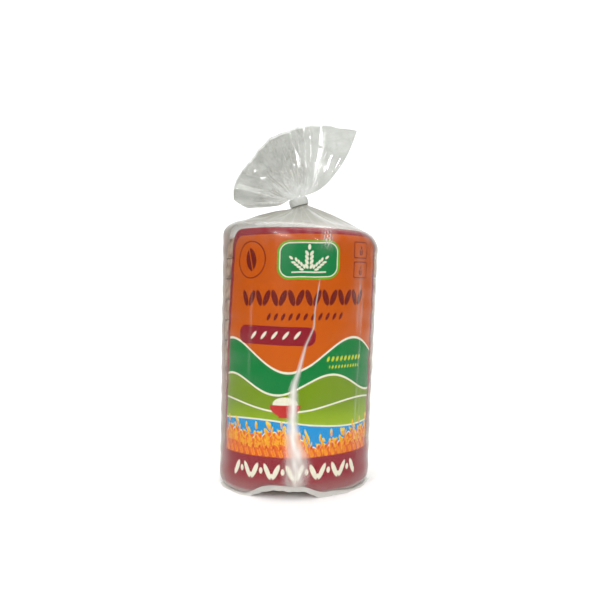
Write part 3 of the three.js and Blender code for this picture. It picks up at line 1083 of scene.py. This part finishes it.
def front_print():
    """The front, for the most part from the ground up: later inks cover earlier ones."""
    sheet = Print("front_print", ORANGE)
    warm = sheet.ramp(sheet.along, 60.0, 150.0, 0.0, 1.0)
    sheet.colour = sheet.mix(warm, srgb(212, 96, 0), srgb(204, 88, 4))
    green_hills(sheet)
    grain_field(sheet)
    plaque(sheet, 5.0, 135.0)
    leaf_ring(sheet, -28.6, 135.6)
    for height in (141.0, 129.5):
        framed_ear(sheet, 38.2, height)

    # A row of large rice grains, a row of small ones, and a ribbon with pale grains.
    large, high = 3.0, 113.8
    cell = sheet.repeat(9.4, large)
    pair = [sheet.oval(x, high, 3.3, 9.4, turn, cell) for x, turn in ((-2.3, -20), (2.5, 16))]
    kept = sheet.block(large, high, 75.2, 11, 0.5)
    sheet.lay(sheet.both(sheet.any_of(pair), kept), DARK_MAROON)
    grain_row(sheet, 4.0, 103.2, 45.1, 4.1, (1.7, 4.4), -24, DARK_MAROON)
    ribbon = -13.0
    sheet.lay(sheet.block(ribbon, 92.6, 46.0, 10.6, 4.4, -2), MAROON)
    grain_row(sheet, ribbon, 92.8, 32.0, 6.4, (1.7, 5.4), -38, CREAM)

    # Two rows of small yellow grains on the green, and a bowl of rice.
    grain_row(sheet, 29.0, 79.0, 25.2, 2.8, (1.5, 3.0), -20, YELLOW, 5, 0.3)
    grain_row(sheet, 29.0, 74.4, 21.0, 2.1, (1.0, 2.0), -20, YELLOW, 5, 0.3)
    bowl(sheet, -6.0, 53.5)

    foot_band(sheet, MAROON, CREAM)
    edge_frame(sheet, FRONT_PANEL, FRONT, MAROON, FRONT_SLANT)
    return sheet.printed()


def back_print():
    """The back: a cream box of plain rules over the same foot."""
    sheet = Print("back_print", ORANGE)
    hill(sheet, 58.0, 4.0, 77.0, -20.0, 1.2, DARK_GREEN)
    hill(sheet, 45.0, 3.0, 62.0, 25.0, 1.0, LIGHT_GREEN)
    grain_field(sheet)
    sheet.lay(sheet.block(0.0, 106.0, 74.0, 72.0, 3.0), CREAM)
    for row in range(11):
        longer = row % 3
        rule = sheet.block(longer - 17.0, 136.0 - row * 4.4, 34.0 + 2 * longer, 1.1, 0.4)
        sheet.lay(rule, DARK_MAROON)
    table = 19.0
    sheet.lay(sheet.block(table, 116.0, 30.0, 44.0, 1.0), DARK_MAROON)
    sheet.lay(sheet.block(table, 116.0, 29.0, 43.0, 0.6), CREAM)
    for row in range(7):
        sheet.lay(sheet.block(table, 133.5 - row * 6.0, 26.0, 0.6, 0.2), DARK_MAROON)
    sheet.lay(sheet.ear(0.0, 73.5, 2.6, 90, 5), LEAF_GREEN)
    foot_band(sheet, MAROON, CREAM)
    edge_frame(sheet, BACK_PANEL, BACK, MAROON)
    return sheet.printed()


CLEAR = film_material("clear_film", (0.945, 0.955, 0.94, 1))
SEAL = film_material("sealed_film", (0.95, 0.96, 0.945, 1), 0.6, 0.95)
FOLD = film_material("folded_film", (0.95, 0.96, 0.945, 1), 0.3, 0.5)
GRAIN = grain_material()
BAND = band_material()


# ---- pieces


def make_film():
    """The bag: one sheet rolled into a tube, closed at the base and open at the tail."""
    sheet = sheet_of_film(FILM, haze_with_highlights=FILM_HAZE_AND_HIGHLIGHTS)
    weld(sheet)
    film = finish_piece(sheet, "film_bag", CLEAR)
    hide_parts("bag")


def panel_grid(angles, middle, columns, rows, slant):
    """Points of a printed panel with rounded corners, and their places on the flat sheet. Its
    first edge turns by some degrees on the way up."""
    turns = np.linspace(*angles, columns + 1)
    arcs = np.radians(turns - middle) * FOOT_RADIUS
    from_side = np.minimum(arcs - arcs[0], arcs[-1] - arcs)
    into = np.clip(PANEL_CORNER - from_side, 0, PANEL_CORNER)
    inset = PANEL_CORNER - np.sqrt(PANEL_CORNER ** 2 - into ** 2)
    points = np.empty((rows + 1, columns + 1, 3))
    places = np.empty((rows + 1, columns + 1, 2))
    for column, (turn, away) in enumerate(zip(turns, inset)):
        lengths = np.linspace(PANEL_FOOT + 0.6 * away, PANEL_TOP - away, rows + 1)
        lean = slant * (1 - column / columns) * (lengths / PANEL_TOP) ** SLANT_CURVE
        wider = 1 + PANEL_FLARE * fall(lengths, *FLARE_HEIGHTS)
        angles_up = middle + (turn - middle) * wider + lean
        points[:, column] = on_film(angles_up, lengths, -INK_DEPTH)
        places[:, column, 0] = np.radians(angles_up - middle) * FOOT_RADIUS
        places[:, column, 1] = lengths
    return points, (places - SHEET_START) / SHEET_SPAN


def make_panel(name, angles, middle, material, slant=0.0):
    points, places = panel_grid(angles, middle, columns=140, rows=170, slant=slant)
    finish_piece(sheet_of_film(points, places), name, material)


def make_side_seal():
    """The long seal of the film tube: a narrow fin, crimped and pressed flat against the side."""
    columns, rows = 10, 260
    grid = np.empty((rows + 1, columns + 1, 3))
    lengths = np.linspace(*SIDE_SEAL_HEIGHTS, rows + 1)
    crimp = 0.12 * np.cos(TURN * lengths / 1.5)
    start, end = SIDE_SEAL
    for column in range(columns + 1):
        share = column / columns
        lift = 0.25 + 0.5 * math.sin(math.pi * share) + crimp
        angle = start + (end - start) * share
        turn = math.radians(angle)
        outward = np.array([math.cos(turn), math.sin(turn), 0.0])
        grid[:, column] = on_film(angle, lengths, 0.0) + lift[:, None] * outward
    finish_piece(sheet_of_film(grid), "side_seal", FOLD)


def make_base_seal():
    """The bottom seal: doubled, crimped film folded under the foot. It shows as a narrow hem that
    follows the foot's edge and hangs a little below it where the foot is tucked up."""
    columns, rows = 240, 16
    turns = np.linspace(*BASE_SEAL, columns + 1)
    share = np.linspace(0, 1, rows + 1)[:, None]
    lift = foot_lift(turns)
    ragged = 0.3 * np.sin(turns * 0.31) + 0.2 * zigzag(turns * 0.83)
    crimp = 0.08 * np.cos(TURN * np.radians(turns) * FOOT_RADIUS / 1.6) * share
    hang = np.minimum(lift + 0.7, 3.0 + ragged)
    flat = fall(lift, 0.3, 2.5)
    radius = FOOT_RADIUS - 1.75 + share * (0.4 + flat * (1.5 + ragged)) + crimp
    height = np.maximum(lift + 0.8 - hang * share ** (1 - 0.4 * flat), 0.12 + 0.1 * (1 - share))
    grid = on_axis(turns[None, :], radius, height)
    finish_piece(sheet_of_film(grid), "base_seal", SEAL)


# What roughens a cake: the grains' gaps pressed in and a fine crumb, by size and depth.
CAKE_ROUGHNESS = (("grains", "VORONOI", 4.4, -1.3), ("crumb", "CLOUDS", 2.2, 0.35))


def model_cake():
    """One rice cake at the origin: a rounded disc of popped grains, with the depth of each spot
    between the grains kept for its material."""
    deselect()
    thick = (CAKE_THICKNESS - 0.2) * MM
    bpy.ops.mesh.primitive_cylinder_add(vertices=128, radius=CAKE_RADIUS * MM, depth=thick)
    cake = bpy.context.object
    modify(cake, "rim", "BEVEL", width=0.7 * MM, segments=3, limit_method="ANGLE")
    modify(cake, "even_skin", "REMESH", mode="VOXEL", voxel_size=1.1 * MM)
    plain = spots_of(cake)
    for name, kind, size, strength in CAKE_ROUGHNESS:
        pattern = bpy.data.textures.new(name, kind)
        pattern.noise_scale = size * MM
        push = {"texture": pattern, "texture_coords": "LOCAL", "mid_level": 0.3}
        modify(cake, name, "DISPLACE", strength=strength * MM, **push)
    shift = spots_of(cake) - plain
    outward = plain * (0.15, 0.15, 1.0)
    height = np.sign((shift * outward).sum(axis=1)) * np.linalg.norm(shift, axis=1) / MM
    low, high = np.percentile(height, (3, 97))
    mark_points(cake, "grain_depth", (height - low) / (high - low))
    return cake


def shoulder_inset(angle, height):
    """How far the film has come in from the wall at a height in the shoulder's round."""
    slope = slope_at(angle)
    over = np.clip(height - shoulder_height(angle) + SHOULDER_ROUND, 0, None)
    t = (1 - np.sqrt(np.clip(1 - (1 - slope) * over / SHOULDER_ROUND, 0, 1))) / (1 - slope)
    return SHOULDER_ROUND * t * t


def fit_inside_film(cake):
    """Presses a cake's rim in wherever the film is tight, and up where it is tucked under."""
    spots = spots_of(cake) / MM
    x, y = spots[:, 0] - axis_at(spots[:, 2]), spots[:, 1]
    angle, radius = np.degrees(np.arctan2(y, x)) % 360, np.hypot(x, y)
    lift = foot_lift(angle)
    outer = FOOT_RADIUS - FOOT_ROUND
    floor = lift * smooth(radius, FLAT_RADIUS, outer) + 1.0
    spots[:, 2] = np.maximum(spots[:, 2], np.minimum(floor, lift + 1.0))
    rise = np.sqrt(np.clip((spots[:, 2] - lift) / FOOT_ROUND, 0, 1))
    at_foot = bend(outer, FOOT_RADIUS, FOOT_RADIUS, rise) - 0.9
    at_wall = wall_radius(spots[:, 2]) - shoulder_inset(angle, spots[:, 2]) - 0.45
    limit = np.where(rise < 1, at_foot, at_wall)
    pull = np.minimum(1, limit / np.maximum(radius, 1e-6))
    spots[:, 0] = x * pull + axis_at(spots[:, 2])
    spots[:, 1] = y * pull
    cake.data.vertices.foreach_set("co", (spots * MM).ravel())
    cake.data.update()


def make_cakes():
    """Twelve cakes, each turned its own way and set a little off the one below."""
    first = model_cake()
    for index in range(CAKE_COUNT):
        select_only(first)
        bpy.ops.object.duplicate()
        cake = bpy.context.object
        height = BASE_FOLD + (index + 0.5) * CAKE_THICKNESS
        cake.rotation_euler = (math.pi * (index % 2), 0, index * GOLDEN_TURN)
        slip = 0.2 * math.sin(index * 2.1)
        place = (STACK_LEAN * height + slip, 0.2 * math.cos(index * 1.3), height)
        cake.location = Vector(place) * MM
        fill = (float(wall_radius(height)) - 0.1) / CAKE_RADIUS
        cake.scale = (fill, fill, 1)
        finish_piece(cake, f"rice_cake_{index + 1:02d}", GRAIN)
        fit_inside_film(cake)
    bpy.data.objects.remove(first)


def make_band():
    """The band: a flat tape wound twice round the neck, its end pressed down on itself."""
    columns, rows = 240, 14
    grid = np.empty((rows + 1, columns + 1, 3))
    for column in range(columns + 1):
        share = column / columns
        angle = -0.5 + TURN * TAPE_TURNS * share
        layer = BAND_GAP + TAPE_STEP * share * TAPE_TURNS + 0.05 * math.sin(7 * angle)
        slant = 0.1 * math.sin(angle * 0.5)
        for row in range(rows + 1):
            up = row / rows * 2 - 1
            swell = 0.1 * (1 - up * up) + 0.04 * math.sin(13 * angle + 4 * up)
            rise = BAND_GAP * 2 + BAND_HEIGHT / 2 + up * (BAND_HEIGHT / 2 - 0.15) + slant
            grid[row, column] = by_neck(math.degrees(angle), NECK_RADIUS + layer + swell, rise)
    tape = sheet_of_film(grid)
    modify(tape, "tape", "SOLIDIFY", thickness=TAPE_THICKNESS * MM, offset=0)
    band = finish_piece(tape, "neck_band", BAND, 50)
    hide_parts("tie")


make_film()
make_panel("front_print", FRONT_PANEL, FRONT, front_print(), FRONT_SLANT)
make_panel("back_print", BACK_PANEL, BACK, back_print())
make_side_seal()
make_base_seal()
make_cakes()
make_band()


# ---- stage, light and camera

STAGE_HALF = 1.6
STAGE_BACK = 1.3
STAGE_FRONT = 0.3
STAGE_HIGH = 2.2
STAGE_SWEEP = 0.6


def make_stage():
    """A pale floor that sweeps up behind the pack."""
    deselect()
    bpy.ops.mesh.primitive_plane_add(size=1, location=(0, (STAGE_BACK - STAGE_FRONT) / 2, 0))
    floor = bpy.context.object
    floor.scale = (2 * STAGE_HALF, STAGE_BACK + STAGE_FRONT, 1)
    bpy.ops.object.transform_apply(location=True, rotation=True, scale=True)
    bpy.ops.object.mode_set(mode="EDIT")
    bpy.ops.mesh.select_mode(type="EDGE")
    bpy.ops.mesh.select_all(action="DESELECT")
    bpy.ops.object.mode_set(mode="OBJECT")
    for edge in floor.data.edges:
        ends = [floor.data.vertices[v].co for v in edge.vertices]
        edge.select = all(end.y > STAGE_BACK - 0.01 for end in ends)
    bpy.ops.object.mode_set(mode="EDIT")
    bpy.ops.mesh.extrude_region_move(TRANSFORM_OT_translate={"value": (0, 0, STAGE_HIGH)})
    bpy.ops.object.mode_set(mode="OBJECT")
    modify(floor, "sweep", "BEVEL", width=STAGE_SWEEP, segments=24, limit_method="ANGLE")
    bpy.ops.object.shade_smooth()
    floor.name = "floor"
    floor.data.materials.append(floor_material())


def soft_light(name, place, aim, size, power, lights=True, glints=True):
    """A soft box. One that gives no light of its own shows only as glints, and the reverse."""
    lamp = bpy.data.lights.new(name, "AREA")
    lamp.shape = "RECTANGLE"
    lamp.size, lamp.size_y = size
    lamp.energy = power
    holder = bpy.data.objects.new(name, lamp)
    bpy.context.scene.collection.objects.link(holder)
    holder.location = place
    holder.rotation_euler = (Vector(aim) - Vector(place)).to_track_quat("-Z", "Y").to_euler()
    holder.visible_diffuse = lights
    holder.visible_glossy = glints


def make_lights():
    world = bpy.data.worlds.new("studio")
    bpy.context.scene.world = world
    world.use_nodes = True
    sky = world.node_tree.nodes["Background"]
    sky.inputs["Color"].default_value = (0.95, 0.98, 1.0, 1)
    sky.inputs["Strength"].default_value = 0.14
    soft_light("top_light", (0.0, -0.05, 1.5), (0, 0, 0), (1.7, 1.7), 24)
    soft_light("key_light", (-0.55, -0.9, 0.75), (0, 0, 0.12), (0.3, 0.3), 5.5)
    soft_light("fill_light", (0.6, -0.85, 0.7), (0, 0, 0.12), (0.3, 0.3), 4.5, glints=False)
    soft_light("back_light", (0.0, 0.35, 1.3), (0, 1.3, 0.5), (1.6, 0.5), 14)
    soft_light("right_glint", (0.42, -0.8, 0.36), (0, 0, 0.2), (0.08, 0.1), 0.85, lights=False)
    soft_light("left_glint", (-0.3, -0.8, 0.38), (0, 0, 0.2), (0.12, 0.12), 1.6, lights=False)


# The camera stands in front of the pack, a little over half its height above the floor.
CAMERA_DISTANCE = 0.395
CAMERA_HEIGHT = 0.118
CAMERA_SIDE = 0.0051
CAMERA_DIP = 0.92
CAMERA_ROLL = 0.5
FOCAL_PIXELS = 624.0
FRAME_PIXELS = 600.0


def make_camera():
    lens = bpy.data.cameras.new("camera")
    lens.sensor_width = 36.0
    lens.lens = lens.sensor_width * FOCAL_PIXELS / FRAME_PIXELS
    camera = bpy.data.objects.new("camera", lens)
    bpy.context.scene.collection.objects.link(camera)
    camera.location = (CAMERA_SIDE, -CAMERA_DISTANCE, CAMERA_HEIGHT)
    camera.rotation_euler = (math.radians(90 - CAMERA_DIP), math.radians(CAMERA_ROLL), 0)
    bpy.context.scene.camera = camera


make_stage()
make_lights()
make_camera()
bpy.context.scene.view_settings.view_transform = "Standard"
